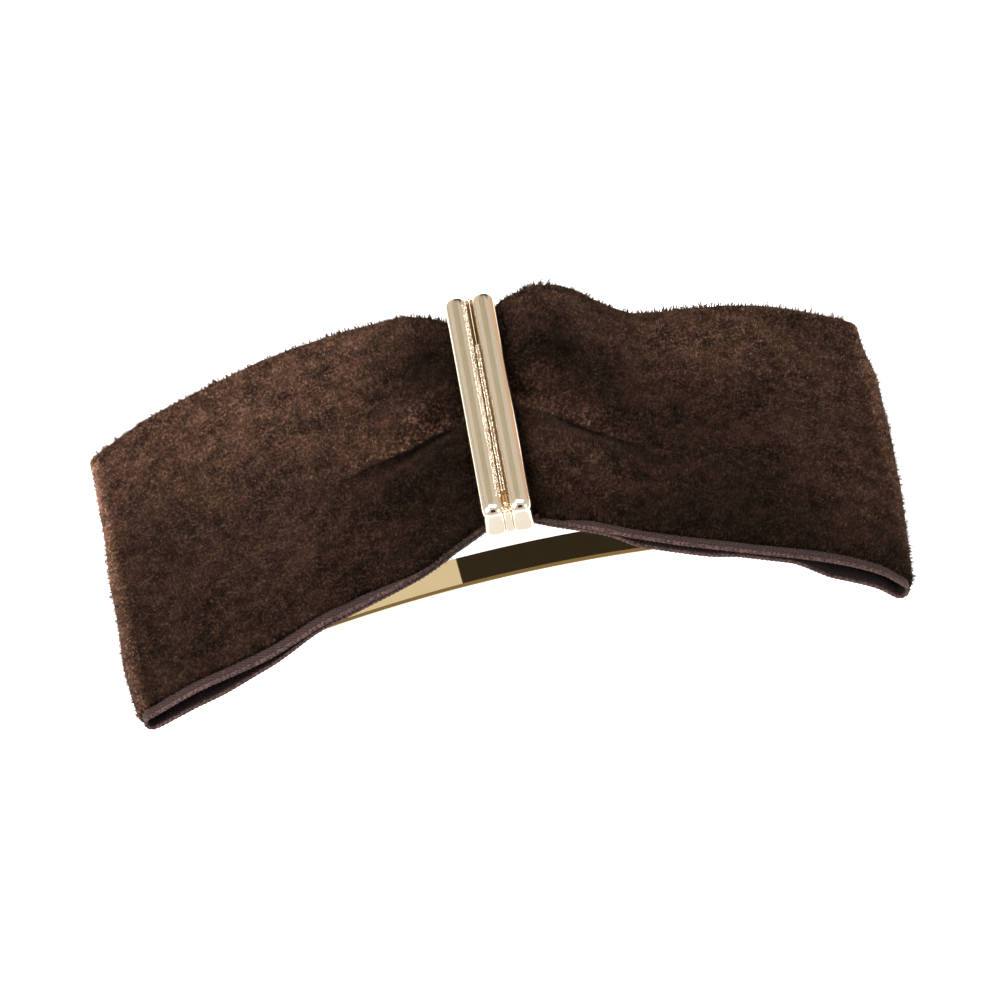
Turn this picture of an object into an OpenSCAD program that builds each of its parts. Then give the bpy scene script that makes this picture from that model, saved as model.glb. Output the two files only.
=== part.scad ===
// Ribbon bow barrette: a velvet bow held by a cast clasp, sewn to a sprung clip that pivots and latches.
// X runs along the bow, Y across the ribbon and Z up through the clasp. The clip's feet stand on Z = 0.

/* [Bow] */
// Length of the bow from fold to fold
bow_length = 88.5; // [84:0.5:108]
// Width of the ribbon
ribbon_w = 50; // [44:1:60]
// Thickness of one layer of ribbon with its pile
layer_t = 1.15; // [0.8:0.05:1.2]
// Thickness of the two layers at the end fold
fold_t = 3.3; // [2.8:0.1:3.4]
// How far the end folds fall behind the middle of the bow
bow_drop = 13.9; // [8:0.1:14]
// Width of the ribbon where the clasp pinches it
pinch_w = 41; // [38:0.5:42]

/* [Clasp] */
// Length of the clasp
clasp_len = 40; // [37:0.5:41]
// Radius of each of its two ribs
rib_r = 1.2; // [0.9:0.01:1.3]
// Depth of the clasp's legs
leg_depth = 4; // [3.8:0.1:4.4]
// Turn of the clasp about its own length
clasp_twist = 0; // [0:1:9]
// Radius of the wire between the ribs
wire_r = 0.27; // [0.2:0.01:0.3]

/* [Clip] */
// Half of the distance from the hinge pin to the catch
clip_half = 33.5; // [30:0.5:36]
// Radius of the clip's arch
arch_r = 153; // [120:1:220]
// Distance from the arm to the base plate
clip_depth = 11.1; // [11:0.1:13.4]
// Turn of the clip against the bow, in degrees
clip_yaw = 3.7; // [0:0.1:6]
// Thickness of the base plate and of the arm
strip_t = 0.8; // [0.6:0.1:1]
// Width of the locking arm
arm_w = 4.8; // [4:0.1:6]
// Radius of the hinge pin
pin_r = 0.6; // [0.5:0.01:0.75]
// Width of the tension bar
bar_w = 3.2; // [2.6:0.1:3.8]
// Width of each release ear
ear_len = 3; // [2.4:0.1:3.6]

/* [Fits] */
// Radial clearance of the arm's knuckle on the pin
pin_play = 0.04; // [0.02:0.01:0.08]
// Clearance of the knuckle from each hinge ear
side_play = 0.15; // [0.1:0.05:0.3]
// Clearance of the barbs from the sides of the arm's window
barb_play = 0.05; // [0.05:0.01:0.2]

/* [Hidden] */
$fn = 64;
eps = 0.01;

// Heights of the clip, from its feet up
ear_gap = arm_w / 2 + side_play;
hinge_t = 0.7;
plate_w = 2 * (ear_gap + hinge_t);
hinge_half = 1.83;
pin_z = hinge_half;
sag = arch_r - sqrt(arch_r * arch_r - clip_half * clip_half);
arm_z = pin_z + sag;
plate_z = arm_z + clip_depth;
plate_top = strip_t / 2;
glue_t = 0.3;
felt_t = 1.2;
felt_half = 10;
felt_w = 7;
glue_half = 12;
plate_left = clip_half + 2;
plate_right = clip_half + hinge_half;
knuckle_r = pin_r + 0.65;
pin_head_r = 1;
pin_head_t = 0.4;

// Heights of the bow, from the felt up
gather_depth = 8.9;
front_z = plate_z + plate_top + glue_t + felt_t + gather_depth + 1.9;
pinch_x = 3.05;
pinch_z = front_z - 3;
fold_slope = 26;
fold_r = fold_t / 2 * cos(fold_slope);
loop_end = bow_length / 2 - fold_r;
middle_t = 2 * layer_t + 0.1;
bulge_from = 28;
bulge_run = loop_end - bulge_from;
flare_run = 17;
loop_steps = 22;
neck_half = 8;

// Ribs and legs of the clasp
rib_x = rib_r + 0.3;
rib_z = front_z - rib_r;
rib_half = clasp_len / 2 - rib_r;
foot_round = 0.45;
slab_t = 0.7;
twist_z = front_z - 2;
prong_w = 3;
prong_t = 0.5;
prong_len = 3;
prong_depth = 3.4;
band_t = 0.08;
wire_depth = wire_r + 0.35;

// The gather clears the twisted ribs, the legs and the prongs
grip_play = 0.06;
grip_depth = 2 * rib_r + rib_x * sin(clasp_twist) + grip_play;
grip_half = rib_half - rib_r - grip_play;
core_half = rib_half - prong_len - 1.1;

// Sewing holes and stitches
sew_x = 7;
sew_y = 1.9;
sew_hole_r = 0.5;
sew_thread_r = 0.2;

// Tension bar: an end pad on the plate and a shallow bow towards the arm
bar_t = 0.5;
bar_half = 25.5;
bar_bow = 1;
bar_rivet_x = 28;
bar_pad = [26, 30];
rivet_r = 0.7;
rivet_head_r = 1.2;
rivet_head_t = 0.4;

// Catch: a riveted pad with two bend lines that the ears turn on
catch_t = 0.5;
catch_x = -clip_half;
catch_pad = [-plate_left + 0.2, -29.4];
catch_w = 5.6;
catch_rivet_x = -30.6;
ear_t = 0.5;
ear_y = 1.25;
bend_r = 0.35;
bend_play = 0.03;
bend_z = pin_z + clip_depth - plate_top - catch_t - 0.75;
barb_out = 0.5;
barb_z = [0.15, 1];
window_half = ear_y + ear_t / 2 + barb_out + barb_play;
rail_w = 1.55;
window_x = [catch_x - 2.1, catch_x + 2.1];
frame_end = 1.6;

// Depth of the bow's front behind the clasp, at distance x from the middle
function front_at(x) = pinch_z - bow_drop * pow(x / (bow_length / 2), 1.6);
// Thickness of the two layers together, and half of the ribbon's width, at distance x
function ease(t) = let (u = min(max(t, 0), 1)) u * u * (3 - 2 * u);
function loop_t(x) = middle_t + (fold_t - middle_t) * ease((x - bulge_from) / bulge_run);
function half_w(x) = (pinch_w + (ribbon_w - pinch_w) * ease((x - pinch_x) / flare_run)) / 2;
function along(a, b, n) = [for (i = [0:n]) a + (b - a) * i / n];

module box(low, high) {
    translate(low) cube(high - low);
}

// Places its children in the clip's own frame, turned a little against the bow
module on_clip() {
    rotate([0, 0, clip_yaw]) children();
}

// A strip that follows the clip's arch: its middle is at height z, and it covers heights a to b from there
module arch(z, a, b, from_x, to_x, width) {
    intersection() {
        translate([0, 0, z - arch_r]) rotate([90, 0, 0]) difference() {
            cylinder(h = width, r = arch_r + b, center = true, $fn = 200);
            cylinder(h = width + 1, r = arch_r + a, center = true, $fn = 200);
        }
        box([from_x, -width, z - 20], [to_x, width, z + 5]);
    }
}

// Places its children at distance x along the base plate, square to its face
module square_to_plate(x) {
    translate([0, 0, plate_z - arch_r]) rotate([0, asin(x / arch_r), 0]) translate([0, 0, arch_r]) children();
}

// The bow's outline in plan, which narrows into the clasp
module bow_plan() {
    xs = along(pinch_x, loop_end, 12);
    far = bow_length / 2 + 1;
    polygon(concat(
        [for (x = xs) [x, half_w(x)]],
        [[far, ribbon_w / 2], [far, -ribbon_w / 2]],
        [for (i = [len(xs) - 1:-1:0]) [xs[i], -half_w(xs[i])]]
    ));
}

// The loop seen along the ribbon's width: two layers that part towards a round fold
module loop_section() {
    xs = along(pinch_x, loop_end, loop_steps);
    open = along(bulge_from + 3, loop_end - 0.4, 8);
    gap = 2 * layer_t;
    fold_z = front_at(loop_end) - fold_t / 2;
    turns = along(90 - fold_slope - 10, -80 - fold_slope, 12);
    difference() {
        polygon(concat(
            [for (x = xs) [x, front_at(x)]],
            [for (a = turns) [loop_end + fold_r * cos(a), fold_z + fold_r * sin(a)]],
            [for (i = [len(xs) - 1:-1:0]) [xs[i], front_at(xs[i]) - loop_t(xs[i])]]
        ));
        polygon(concat(
            [for (x = open) [x, front_at(x) - layer_t]],
            [for (i = [len(open) - 1:-1:0]) [open[i], front_at(open[i]) - layer_t - loop_t(open[i]) + gap]]
        ));
    }
}

module loop() {
    intersection() {
        rotate([90, 0, 0]) linear_extrude(height = ribbon_w + 2, center = true) loop_section();
        linear_extrude(height = front_z) bow_plan();
    }
}

module left_loop() {
    color("#4b3529") mirror([1, 0, 0]) loop();
}

module right_loop() {
    color("#45302a") loop();
}

// The pinched layers: as wide as the clasp lets them be at the front, and bunched to a neck behind
module ribbon_gather() {
    top = front_z - grip_depth;
    step = front_z - prong_depth + 0.3;
    color("#291a15") difference() {
        rotate([90, 0, 90]) linear_extrude(height = 2 * pinch_x, center = true) polygon([
            [grip_half, top], [grip_half, step], [core_half, step], [core_half, front_z - 5.8],
            [neck_half, front_z - 7.4], [neck_half, plate_z],
            [-neck_half, plate_z], [-neck_half, front_z - 7.4],
            [-core_half, front_z - 5.8], [-core_half, step], [-grip_half, step], [-grip_half, top]
        ]);
        on_clip() translate([0, 0, plate_z - arch_r]) rotate([90, 0, 0])
            cylinder(h = 80, r = arch_r + plate_top + glue_t + felt_t, center = true, $fn = 200);
    }
}

// Three turns of thread round the neck of the gather
module gathering_thread() {
    turn = 0.35;
    color("#2a1b16") for (i = [0:2]) translate([0, 0, front_z - 8.2 - i * 0.5])
        linear_extrude(height = 0.3) difference() {
            square([2 * (pinch_x + turn), 2 * (neck_half + turn)], center = true);
            square([2 * pinch_x, 2 * neck_half], center = true);
        }
}

module sew_holes(r, top) {
    for (x = [-sew_x, sew_x], y = [-sew_y, sew_y])
        square_to_plate(x) translate([0, y, -2]) cylinder(h = top + 2, r = r);
}

module backing_felt() {
    low = plate_top + glue_t;
    color("#3a2a24") on_clip() difference() {
        arch(plate_z, low, low + felt_t, -felt_half, felt_half, felt_w);
        sew_holes(sew_thread_r + 0.02, 4);
    }
}

module glue_pad() {
    color("#d9cfae") on_clip() difference() {
        arch(plate_z, plate_top, plate_top + glue_t, -glue_half, glue_half, felt_w - 1);
        sew_holes(sew_thread_r + 0.02, 4);
    }
}

// Two stitches, each a closed loop over the felt and under the plate
module sewing_thread() {
    over = plate_top + glue_t + felt_t + sew_thread_r + 0.02;
    under = -plate_top - sew_thread_r - 0.02;
    color("#2a1b16") on_clip() for (x = [-sew_x, sew_x]) square_to_plate(x) {
        for (y = [-sew_y, sew_y]) translate([0, y, under]) cylinder(h = over - under, r = sew_thread_r);
        for (z = [under, over], y = [-sew_y, sew_y]) translate([0, y, z]) sphere(r = sew_thread_r);
        for (z = [under, over]) translate([0, 0, z]) rotate([90, 0, 0])
            cylinder(h = 2 * sew_y, r = sew_thread_r, center = true);
    }
}

// Places its children in the clasp's own frame, turned about its length
module on_clasp() {
    translate([0, 0, twist_z]) rotate([0, -clasp_twist, 0]) translate([0, 0, -twist_z]) children();
}

// One rib: a round bar that bends back at both ends into a leg with a rounded foot
module rib() {
    translate([0, 0, rib_z]) rotate([90, 0, 0]) cylinder(h = 2 * rib_half, r = rib_r, center = true);
    for (s = [-1, 1]) translate([0, s * rib_half, 0]) {
        translate([0, 0, rib_z]) sphere(r = rib_r);
        translate([0, 0, front_z - leg_depth]) rotate_extrude() {
            translate([0, foot_round]) square([rib_r, leg_depth - rib_r - foot_round]);
            square([rib_r - foot_round, foot_round]);
            intersection() {
                translate([rib_r - foot_round, foot_round]) circle(r = foot_round);
                square([rib_r, foot_round]);
            }
        }
    }
}

// The casting: two ribs on a slab, and at each end a thin prong bent in behind the ribbon
module clasp_bar() {
    slab_z = front_z - 1.2 - slab_t;
    valley = rib_x - rib_r;
    spine = valley + 0.12;
    color("#b5a388") on_clasp() difference() {
        union() {
            for (s = [-1, 1]) translate([s * rib_x, 0, 0]) rib();
            box([-rib_x - rib_r + 0.3, -rib_half, slab_z], [rib_x + rib_r - 0.3, rib_half, slab_z + slab_t]);
            box([-spine, -rib_half, slab_z], [spine, rib_half, front_z - wire_depth]);
            for (s = [-1, 1]) translate([0, s * (rib_half - prong_len / 2), front_z - prong_depth - prong_t / 2])
                cube([prong_w, prong_len, prong_t], center = true);
            for (s = [-1, 1]) translate([0, s * rib_half, rib_z - rib_r])
                cube([2 * valley + 1, 1.4, 2 * rib_r], center = true);
        }
        translate([0, 0, front_z - wire_depth]) rotate([90, 0, 0])
            cylinder(h = clasp_len - 2, r = wire_r, center = true);
    }
}

module clasp_centre_wire() {
    color("#c0a27a") on_clasp() translate([0, 0, front_z - wire_depth]) rotate([90, 0, 0])
        cylinder(h = clasp_len - 2, r = wire_r, center = true);
}

// A granulated skin on the inner side of the left rib
module clasp_granule_band() {
    color("#d2b48c") on_clasp() intersection() {
        translate([-rib_x, 0, rib_z]) rotate([90, 0, 0]) difference() {
            cylinder(h = clasp_len - 6, r = rib_r + band_t, center = true);
            cylinder(h = clasp_len, r = rib_r, center = true);
        }
        translate([-rib_x, 0, rib_z]) rotate([0, 14, 0]) box([0, -clasp_len, 0], [3, clasp_len, 3]);
        translate([-rib_x, 0, rib_z]) rotate([0, -32, 0]) box([-1, -clasp_len, 0], [3, clasp_len, 3]);
    }
}

// The arched plate, with two ears bent down at one end to hold the pin
module base_plate() {
    ear_top = plate_z - sag - 1;
    color("#c9a95f") on_clip() difference() {
        union() {
            arch(plate_z, -plate_top, plate_top, -plate_left, plate_right, plate_w);
            for (s = [-1, 1]) translate([clip_half, s * (ear_gap + hinge_t / 2), 0]) {
                intersection() {
                    translate([-hinge_half, -hinge_t / 2, 0])
                        cube([2 * hinge_half, hinge_t, plate_z - sag]);
                    translate([-clip_half, 0, plate_z - arch_r]) rotate([90, 0, 0])
                        cylinder(h = 2, r = arch_r, center = true, $fn = 200);
                }
            }
        }
        translate([clip_half, 0, pin_z]) rotate([90, 0, 0]) cylinder(h = 20, r = pin_r, center = true);
        sew_holes(sew_hole_r, 2);
        square_to_plate(bar_rivet_x) cylinder(h = 4, r = rivet_r, center = true);
        square_to_plate(catch_rivet_x) cylinder(h = 4, r = rivet_r, center = true);
    }
}

module hinge_pin() {
    reach = ear_gap + hinge_t;
    color("#b8b4ab") on_clip() translate([clip_half, 0, pin_z]) rotate([90, 0, 0]) {
        cylinder(h = 2 * reach, r = pin_r, center = true);
        for (s = [-1, 1]) translate([0, 0, s * (reach + pin_head_t / 2)])
            cylinder(h = pin_head_t, r = pin_head_r, center = true);
    }
}

// The arm: a knuckle on the pin, an arched strip and a frame with a window for the release ears
module locking_arm() {
    frame_w = 2 * (window_half + rail_w);
    frame_x = window_x[0] - frame_end;
    color("#d2b066") on_clip() difference() {
        union() {
            arch(arm_z, -strip_t / 2, strip_t / 2, frame_x + 1, clip_half, arm_w);
            arch(arm_z, -strip_t / 2, strip_t / 2, frame_x, window_x[1] + frame_end, frame_w);
            translate([clip_half, 0, pin_z]) rotate([90, 0, 0]) cylinder(h = arm_w, r = knuckle_r, center = true);
        }
        box([window_x[0], -window_half, -3], [window_x[1], window_half, 8]);
        translate([clip_half, 0, pin_z]) rotate([90, 0, 0])
            cylinder(h = 20, r = pin_r + pin_play, center = true);
    }
}

// A spring strip riveted at the hinge end and free at the other
module tension_bar() {
    foot_z = plate_z - plate_top - (arch_r - sqrt(arch_r * arch_r - bar_half * bar_half));
    bow_r = (bar_half * bar_half + bar_bow * bar_bow) / (2 * bar_bow);
    color("#c7c3b8") on_clip() difference() {
        union() {
            arch(plate_z, -plate_top - bar_t, -plate_top, bar_pad[0] - 1.5, bar_pad[1], bar_w + 0.6);
            difference() {
                intersection() {
                    translate([0, 0, foot_z - bar_bow + bow_r]) rotate([90, 0, 0]) difference() {
                        cylinder(h = bar_w, r = bow_r, center = true, $fn = 600);
                        cylinder(h = bar_w + 1, r = bow_r - bar_t, center = true, $fn = 600);
                    }
                    box([-bar_half, -bar_w, foot_z - 4], [bar_half, bar_w, foot_z + 1]);
                }
                translate([0, 0, plate_z - arch_r]) rotate([90, 0, 0]) difference() {
                    cylinder(h = 20, r = arch_r + 5, center = true, $fn = 200);
                    cylinder(h = 21, r = arch_r - plate_top - 0.03, center = true, $fn = 200);
                }
            }
        }
        square_to_plate(bar_rivet_x) cylinder(h = 6, r = rivet_r, center = true);
    }
}

// A rivet with low heads: its shank goes through the plate and a strip of thickness t under it
module rivet(t) {
    translate([0, 0, -plate_top - t]) cylinder(h = strip_t + t, r = rivet_r);
    translate([0, 0, plate_top]) cylinder(h = rivet_head_t, r = rivet_head_r);
    translate([0, 0, -plate_top - t - rivet_head_t]) cylinder(h = rivet_head_t, r = rivet_head_r);
}

module tension_bar_rivet() {
    color("#b8b4ab") on_clip() square_to_plate(bar_rivet_x) rivet(bar_t);
}

module catch_rivet() {
    color("#b8b4ab") on_clip() square_to_plate(catch_rivet_x) rivet(catch_t);
}

// The catch's pad, with a web down to each of the two bend lines
module catch_bracket() {
    color("#c7c3b8") on_clip() difference() {
        union() {
            arch(plate_z, -plate_top - catch_t, -plate_top, catch_pad[0], catch_pad[1], catch_w);
            intersection() {
                for (s = [-1, 1])
                    box(
                        [catch_x - ear_len / 2, s * ear_y - ear_t / 2, bend_z],
                        [catch_x + ear_len / 2, s * ear_y + ear_t / 2, bend_z + 4]
                    );
                translate([0, 0, plate_z - arch_r]) rotate([90, 0, 0])
                    cylinder(h = 20, r = arch_r - plate_top - catch_t / 2, center = true, $fn = 200);
            }
            for (s = [-1, 1]) translate([catch_x, s * ear_y, bend_z]) rotate([0, 90, 0])
                cylinder(h = ear_len, r = bend_r, center = true);
        }
        square_to_plate(catch_rivet_x) cylinder(h = 4, r = rivet_r, center = true);
    }
}

// One ear of the catch: it hangs from its bend line, passes through the arm's window and ends in a barb
module release_ear(s) {
    out = ear_t / 2;
    on_clip() translate([catch_x, s * ear_y, 0]) difference() {
        rotate([90, 0, 90]) linear_extrude(height = ear_len, center = true) polygon([
            [-out, 0], [-out, bend_z], [out, bend_z], [out, 0]
        ]);
        translate([0, 0, bend_z]) rotate([0, 90, 0])
            cylinder(h = ear_len + 1, r = bend_r + bend_play, center = true);
    }
    on_clip() translate([catch_x, s * (ear_y + out), 0]) mirror([0, s < 0 ? 1 : 0, 0])
        rotate([90, 0, 90]) linear_extrude(height = ear_len, center = true)
            polygon([[-eps, 0], [0.1, 0], [barb_out, barb_z[1] - 0.25], [barb_out, barb_z[1]], [-eps, barb_z[1]]]);
}

module release_ear_front() {
    color("#c7c3b8") release_ear(-1);
}

module release_ear_rear() {
    color("#c7c3b8") release_ear(1);
}

left_loop();
right_loop();
ribbon_gather();
gathering_thread();
backing_felt();
glue_pad();
clasp_bar();
clasp_centre_wire();
clasp_granule_band();
sewing_thread();
base_plate();
hinge_pin();
locking_arm();
tension_bar();
tension_bar_rivet();
catch_bracket();
catch_rivet();
release_ear_front();
release_ear_rear();
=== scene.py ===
"""A velvet ribbon bow barrette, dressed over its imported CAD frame. Lengths are in metres."""

import math

import bmesh
import bpy
import numpy as np
from mathutils import Matrix, Vector


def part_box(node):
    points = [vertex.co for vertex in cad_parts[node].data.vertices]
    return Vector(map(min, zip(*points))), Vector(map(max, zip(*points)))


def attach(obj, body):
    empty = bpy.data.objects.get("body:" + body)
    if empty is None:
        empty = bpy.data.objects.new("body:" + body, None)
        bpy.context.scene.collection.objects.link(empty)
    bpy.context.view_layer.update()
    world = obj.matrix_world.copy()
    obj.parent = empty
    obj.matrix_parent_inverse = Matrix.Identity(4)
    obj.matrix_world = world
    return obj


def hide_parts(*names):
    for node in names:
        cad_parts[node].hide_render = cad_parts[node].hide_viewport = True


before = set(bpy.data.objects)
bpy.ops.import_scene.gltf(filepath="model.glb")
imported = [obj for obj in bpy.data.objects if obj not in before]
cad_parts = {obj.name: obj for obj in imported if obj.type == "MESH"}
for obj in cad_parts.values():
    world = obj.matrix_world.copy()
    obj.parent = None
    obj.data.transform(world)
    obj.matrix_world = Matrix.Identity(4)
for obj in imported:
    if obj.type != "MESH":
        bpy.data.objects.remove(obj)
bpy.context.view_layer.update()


# ---------------------------------------------------------------- camera
# A long lens looks down on the bow from in front, 52 degrees off its face, and is rolled
# until the bow rises to the right. The clasp's face is the centre that everything is set from.

mm = 0.001
face_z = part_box("base_plate")[0][2] + 29.34 * mm
face = Vector((0, 0, face_z))


def add_camera(tilt_deg, roll_deg, distance, width, aim):
    """Adds the camera: tilt off the bow's face, roll in the picture, and the width that it sees."""
    tilt = math.radians(tilt_deg)
    back = Vector((0, -math.sin(tilt), math.cos(tilt)))
    rise = Vector((0, math.cos(tilt), math.sin(tilt)))
    roll = math.radians(roll_deg)
    right = Vector((1, 0, 0)) * math.cos(roll) - rise * math.sin(roll)
    up = Vector((1, 0, 0)) * math.sin(roll) + rise * math.cos(roll)
    target = face + Vector((1, 0, 0)) * aim[0] + rise * aim[1]
    data = bpy.data.cameras.new("camera")
    data.sensor_width = 36
    data.lens = 36 * distance / width
    data.clip_start = 0.01
    data.clip_end = 20
    camera = bpy.data.objects.new("camera", data)
    camera.matrix_world = Matrix((
        (right.x, up.x, back.x, target.x + back.x * distance),
        (right.y, up.y, back.y, target.y + back.y * distance),
        (right.z, up.z, back.z, target.z + back.z * distance),
        (0, 0, 0, 1),
    ))
    bpy.context.collection.objects.link(camera)
    bpy.context.scene.camera = camera


add_camera(tilt_deg=52, roll_deg=10.3, distance=2.4, width=114 * mm, aim=(-0.56 * mm, -11.64 * mm))


# ---------------------------------------------------------------- materials' tools
# A Look is one procedural material. node() makes any shader node, and a Wire is a socket
# that takes part in ordinary arithmetic, so that patterns read as formulas.


class Wire:
    """A shader socket that adds, multiplies and so on, by making Math nodes."""

    def __init__(self, look, socket):
        self.look = look
        self.socket = socket

    def math(self, operation, *others):
        return self.look.node("ShaderNodeMath", {"operation": operation}, {
            i: v for i, v in enumerate((self, *others))
        })

    def __add__(self, other):
        return self.math("ADD", other)

    def __sub__(self, other):
        return self.math("SUBTRACT", other)

    def __rsub__(self, other):
        return self.look.number(other).math("SUBTRACT", self)

    def __mul__(self, other):
        return self.math("MULTIPLY", other)

    def __neg__(self):
        return self.math("MULTIPLY", -1)

    __radd__ = __add__
    __rmul__ = __mul__

    def sine(self):
        return self.math("SINE")

    def step(self, low, high):
        """0 below low, 1 above high and smooth between."""
        return self.look.node("ShaderNodeMapRange", {"interpolation_type": "SMOOTHSTEP"}, {
            "Value": self, "From Min": low, "From Max": high,
        }, out="Result")


class Look:
    """A material with one Principled shader."""

    def __init__(self, name, **constants):
        self.material = bpy.data.materials.new(name)
        self.material.use_nodes = True
        self.tree = self.material.node_tree
        self.shader = self.tree.nodes["Principled BSDF"]
        for socket, value in constants.items():
            self.shader.inputs[socket.replace("_", " ").title().replace("Ior", "IOR")].default_value = value

    def node(self, kind, settings=None, inputs=None, out=0):
        """Makes a node: its settings first, then its sockets' values or links. Returns one output."""
        made = self.tree.nodes.new(kind)
        for name, value in (settings or {}).items():
            setattr(made, name, value)
        for name, value in (inputs or {}).items():
            self.put(made.inputs[name], value)
        return Wire(self, made.outputs[out])

    def put(self, socket, value):
        if isinstance(value, Wire):
            self.tree.links.new(value.socket, socket)
        else:
            socket.default_value = value

    def number(self, value):
        made = self.node("ShaderNodeValue")
        made.socket.default_value = value
        return made

    def place(self):
        """The object's own coordinates, in metres."""
        return self.node("ShaderNodeTexCoord", out="Object")

    def split(self, vector):
        made = self.tree.nodes.new("ShaderNodeSeparateXYZ")
        self.put(made.inputs[0], vector)
        return [Wire(self, o) for o in made.outputs]

    def noise(self, size, detail=3.0, rough=0.5, stretch=(1, 1, 1)):
        """Noise from 0 to 1, about size metres from blotch to blotch."""
        where = self.node("ShaderNodeVectorMath", {"operation": "MULTIPLY"}, {
            0: self.place(), 1: tuple(s / size for s in stretch),
        })
        return self.node("ShaderNodeTexNoise", None, {
            "Vector": where, "Scale": 1.0, "Detail": detail, "Roughness": rough,
        })

    def mix(self, factor, a, b):
        """A colour between a and b."""
        made = self.tree.nodes.new("ShaderNodeMix")
        made.data_type = "RGBA"
        self.put(made.inputs["Factor"], factor)
        for socket, value in ((made.inputs[6], a), (made.inputs[7], b)):
            self.put(socket, value if isinstance(value, Wire) else (*value, 1))
        return Wire(self, made.outputs[2])

    def shade(self, colour, amount):
        """A colour times a number or a Wire."""
        return self.node("ShaderNodeVectorMath", {"operation": "SCALE"}, {0: colour, "Scale": amount})

    def bump(self, height, depth):
        """A bump from a height of 0 to 1 that stands depth metres high."""
        made = self.node("ShaderNodeBump", None, {"Height": height, "Distance": depth, "Strength": 1.0})
        self.put(self.shader.inputs["Normal"], made)

    def feed(self, socket, wire):
        self.put(self.shader.inputs[socket], wire)


def srgb(r, g, b):
    """A colour given as 0 to 255 on screen, in the linear values that shaders use."""
    return tuple((c / 255 / 12.92) if c < 11 else ((c / 255 + 0.055) / 1.055) ** 2.4 for c in (r, g, b))


# ---------------------------------------------------------------- studio
# A pale floor under soft light, as in a small product studio. Dark, grey, tan and pale cards
# stand round the bow. Only reflections show them: they shade the polished arm and the clasp.


def floor_look():
    look = Look("studio_floor", roughness=0.9)
    tone = look.noise(0.05, detail=2)
    look.feed("Base Color", look.mix(tone, (0.9, 0.9, 0.9), (0.93, 0.93, 0.93)))
    look.shader.inputs["Emission Color"].default_value = (1, 1, 1, 1)
    look.shader.inputs["Emission Strength"].default_value = 0.9
    return look.material


def card_look(name, dark, pale):
    look = Look(name, roughness=0.9)
    look.shader.inputs["Specular IOR Level"].default_value = 0.0
    tone = look.noise(0.02, detail=2)
    look.feed("Base Color", look.mix(tone, dark, pale))
    return look.material


def quad(name, corners, material):
    mesh = bpy.data.meshes.new(name)
    mesh.from_pydata([Vector(c) for c in corners], [], [range(len(corners))])
    mesh.materials.append(material)
    made = bpy.data.objects.new(name, mesh)
    bpy.context.collection.objects.link(made)
    return made


def area_light(name, place, aim, size, power):
    data = bpy.data.lights.new(name, "AREA")
    data.shape = "RECTANGLE"
    data.size, data.size_y = size
    data.energy = power
    lamp = bpy.data.objects.new(name, data)
    lamp.location = place
    lamp.rotation_euler = (Vector(place) - Vector(aim)).to_track_quat("Z", "Y").to_euler()
    bpy.context.collection.objects.link(lamp)


def card(name, corners, material):
    """A card that only polished metal sees, mirrored."""
    made = quad(name, corners, material)
    made.visible_camera = False
    made.visible_diffuse = False
    made.visible_shadow = False


def upright(y, left, right, low, high):
    return [(left, y, low), (right, y, low), (right, y, high), (left, y, high)]


floor_z = -0.05 * mm
black_card = card_look("card_black", (0.010, 0.009, 0.008), (0.016, 0.014, 0.012))
grey_card = card_look("card_grey", (0.19, 0.18, 0.15), (0.23, 0.22, 0.18))
tan_card = card_look("card_tan", (0.33, 0.25, 0.19), (0.38, 0.29, 0.23))
quad("floor", [(-4, -4, floor_z), (4, -4, floor_z), (4, 4, floor_z), (-4, 4, floor_z)], floor_look())
card("low_card", upright(0.3, -0.0215, 0.115, 0.06, 0.2), black_card)
card("middle_card", upright(0.3, -0.075, 0.035, 0.2, 0.36), grey_card)
card("left_card", upright(0.3, -0.215, -0.185, 0.02, 0.3), grey_card)
card("right_card", upright(0.3, 0.14, 0.5, 0.0, 0.21), tan_card)
pale_card = card_look("card_pale", (0.46, 0.49, 0.54), (0.50, 0.53, 0.58))
foot_z = 0.002
foot_corners = [(-0.03, -0.1, foot_z), (0.03, -0.1, foot_z), (0.03, -0.03, foot_z), (-0.03, -0.03, foot_z)]
card("foot_card", foot_corners, pale_card)
card("front_card", upright(-0.7, -0.25, 0.25, 0.35, 1.0), black_card)
area_light("key", (-0.45, -0.15, 0.45), face, (0.35, 0.5), 9)
area_light("top", (0.05, 0.1, 0.7), face, (0.6, 0.4), 4)
area_light("fill", (0.5, -0.4, 0.3), face, (0.3, 0.3), 1)
world = bpy.data.worlds.new("world")
world.use_nodes = True
world.node_tree.nodes["Background"].inputs["Color"].default_value = (1, 1, 1, 1)
world.node_tree.nodes["Background"].inputs["Strength"].default_value = 0.95
bpy.context.scene.world = world
bpy.context.scene.view_settings.view_transform = "Standard"


# ---------------------------------------------------------------- ribbon
# One length of 50 mm velvet ribbon, woven with a short cut pile on a plain twill-backed
# ground, folded into two flat loops and pinched under the clasp. Each edge is a list of
# places along the bow: distance from the clasp, distance across, and depth behind the face.

pile_length = 1.15 * mm
bed_height = 0.55 * mm
clump_size = 2
ground_t = 0.34 * mm
ribbon_w = 50 * mm
across_n = 97
front_n = 120
fold_n = 15
loop_start = 0.5 * mm
# The front stops this many mm short of its outline's end on each side, for the fold to fill.
fold_reach = {-1: -0.1, 1: 0.35}

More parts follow.
